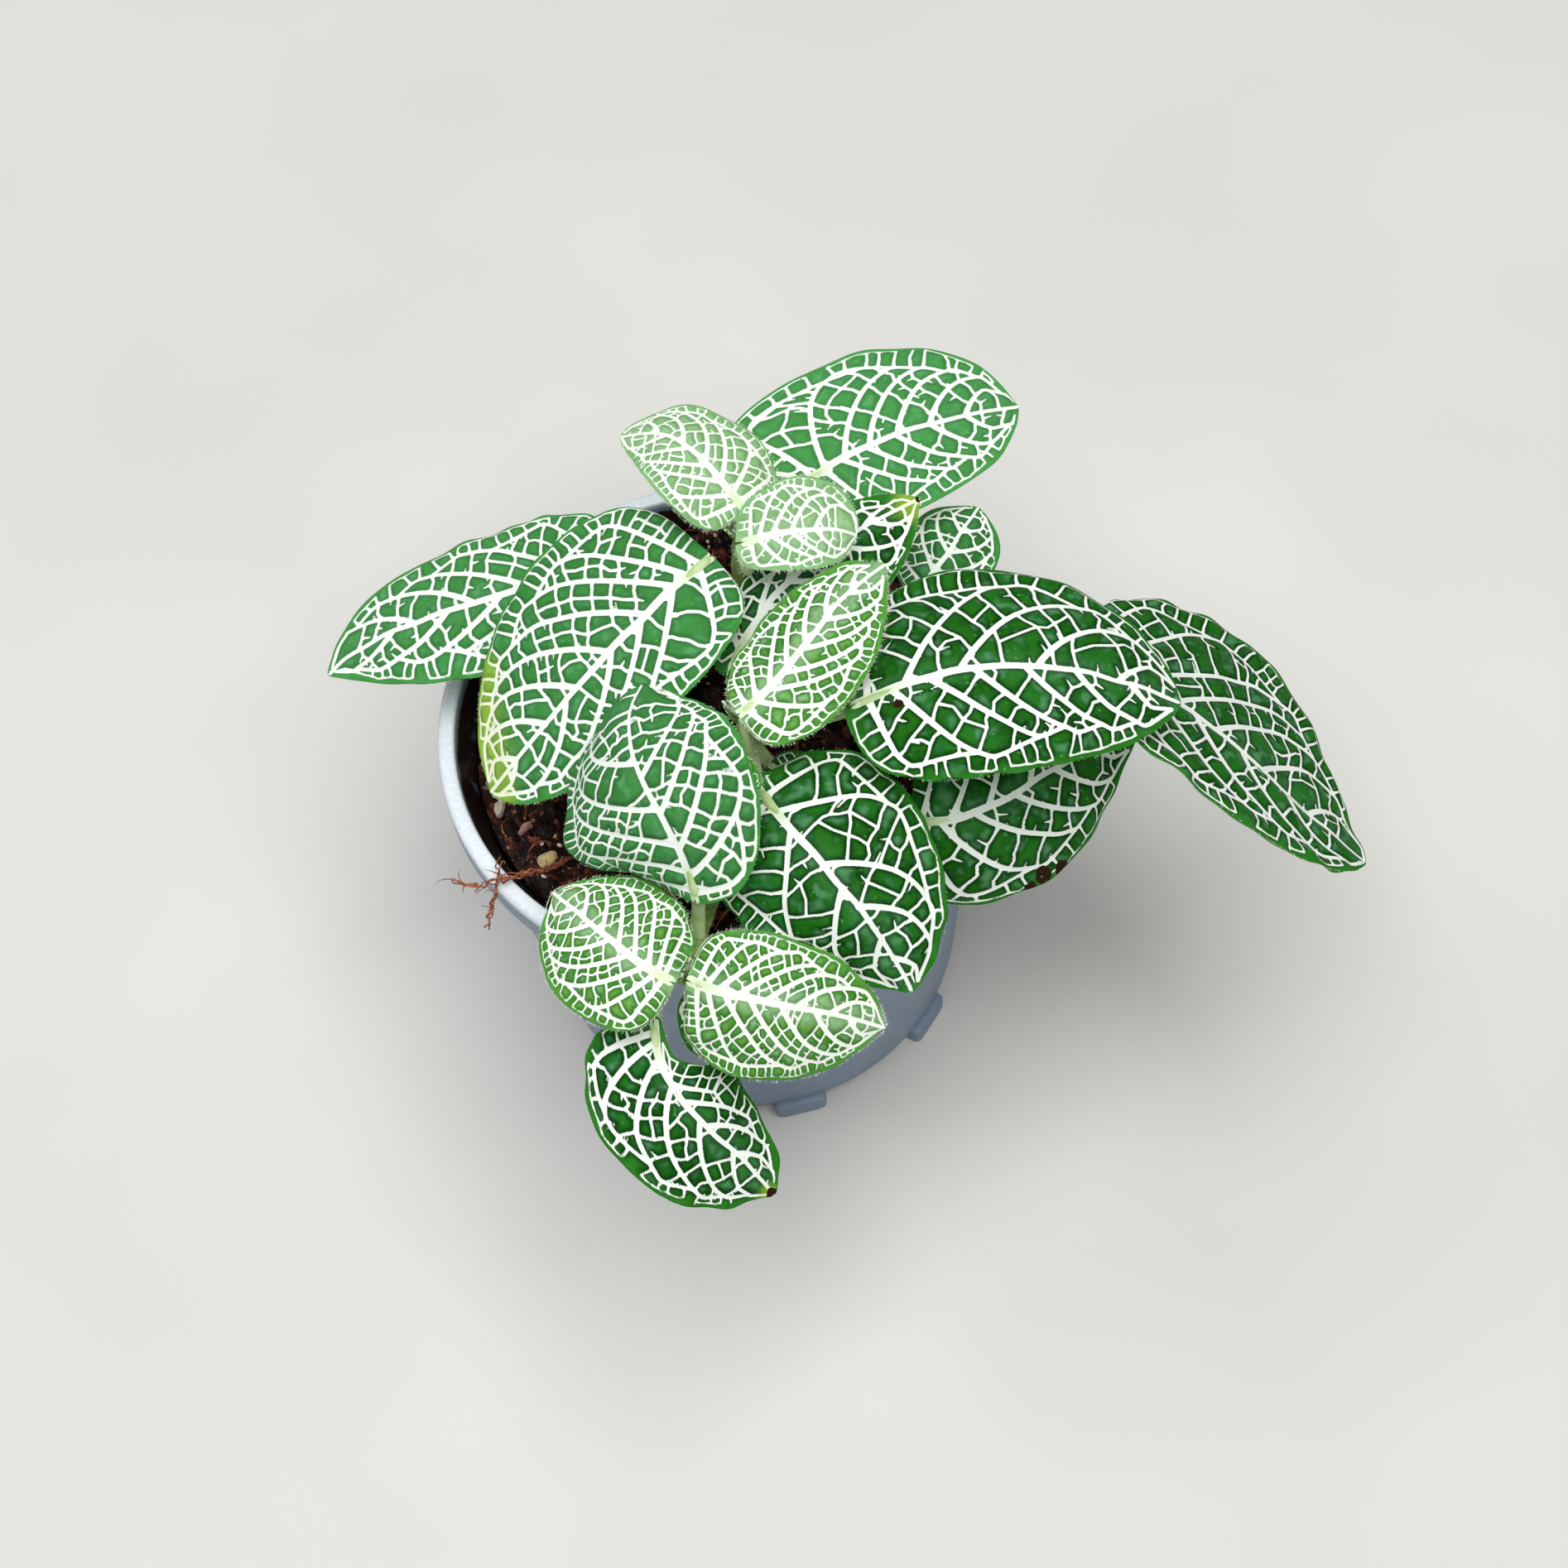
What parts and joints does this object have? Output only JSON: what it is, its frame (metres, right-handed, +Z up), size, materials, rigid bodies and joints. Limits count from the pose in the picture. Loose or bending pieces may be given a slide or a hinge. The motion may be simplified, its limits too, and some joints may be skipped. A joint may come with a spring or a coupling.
{
  "type": "potted nerve plant",
  "caption": "Small nerve plant with white-netted oval leaves, rooted in a round tapered plastic nursery pot of potting mix; it stands free on the pot's feet.",
  "frame": {"origin": "middle of the flat pad under the pot, in the plane the pot stands on", "axes": "+Z up out of the pot, -Y towards the side that the front shoot leans over, +X towards the side that the longest leaves reach out on"},
  "size_m": [0.1035, 0.0855, 0.0806],
  "materials": {
    "pot_plastic": "satin pale blue-grey moulded plastic",
    "potting_mix": "damp dark red-brown peat and coir crumbs with pale mineral grains",
    "root_fibre": "dry matt orange-brown fibre",
    "stem": "downy pale green",
    "young_leaf": "satin light yellow-green with a fine white net",
    "old_leaf": "satin deep green with a white net of veins"
  },
  "bodies": {
    "root": {"pot": "pot_plastic", "soil": "potting_mix", "root_strand": "root_fibre", "stem_front": "stem", "stem_middle": "stem", "stem_back": "stem", "stem_right": "stem", "leaf_back_left": "old_leaf", "leaf_left": "old_leaf", "leaf_young_back_left": "young_leaf", "leaf_young_back_right": "young_leaf", "leaf_back": "old_leaf", "leaf_inner_back": "old_leaf", "leaf_small_back_right": "old_leaf", "leaf_right": "old_leaf", "leaf_far_right": "old_leaf", "leaf_under_right": "old_leaf", "leaf_centre": "young_leaf", "leaf_front_left": "old_leaf", "leaf_young_front_left": "young_leaf", "leaf_young_front_right": "young_leaf", "leaf_front": "old_leaf", "leaf_front_right": "old_leaf", "leaf_small_centre": "young_leaf", "leaf_small_shade": "old_leaf", "leaf_small_front": "old_leaf"}
  },
  "joints": []
}
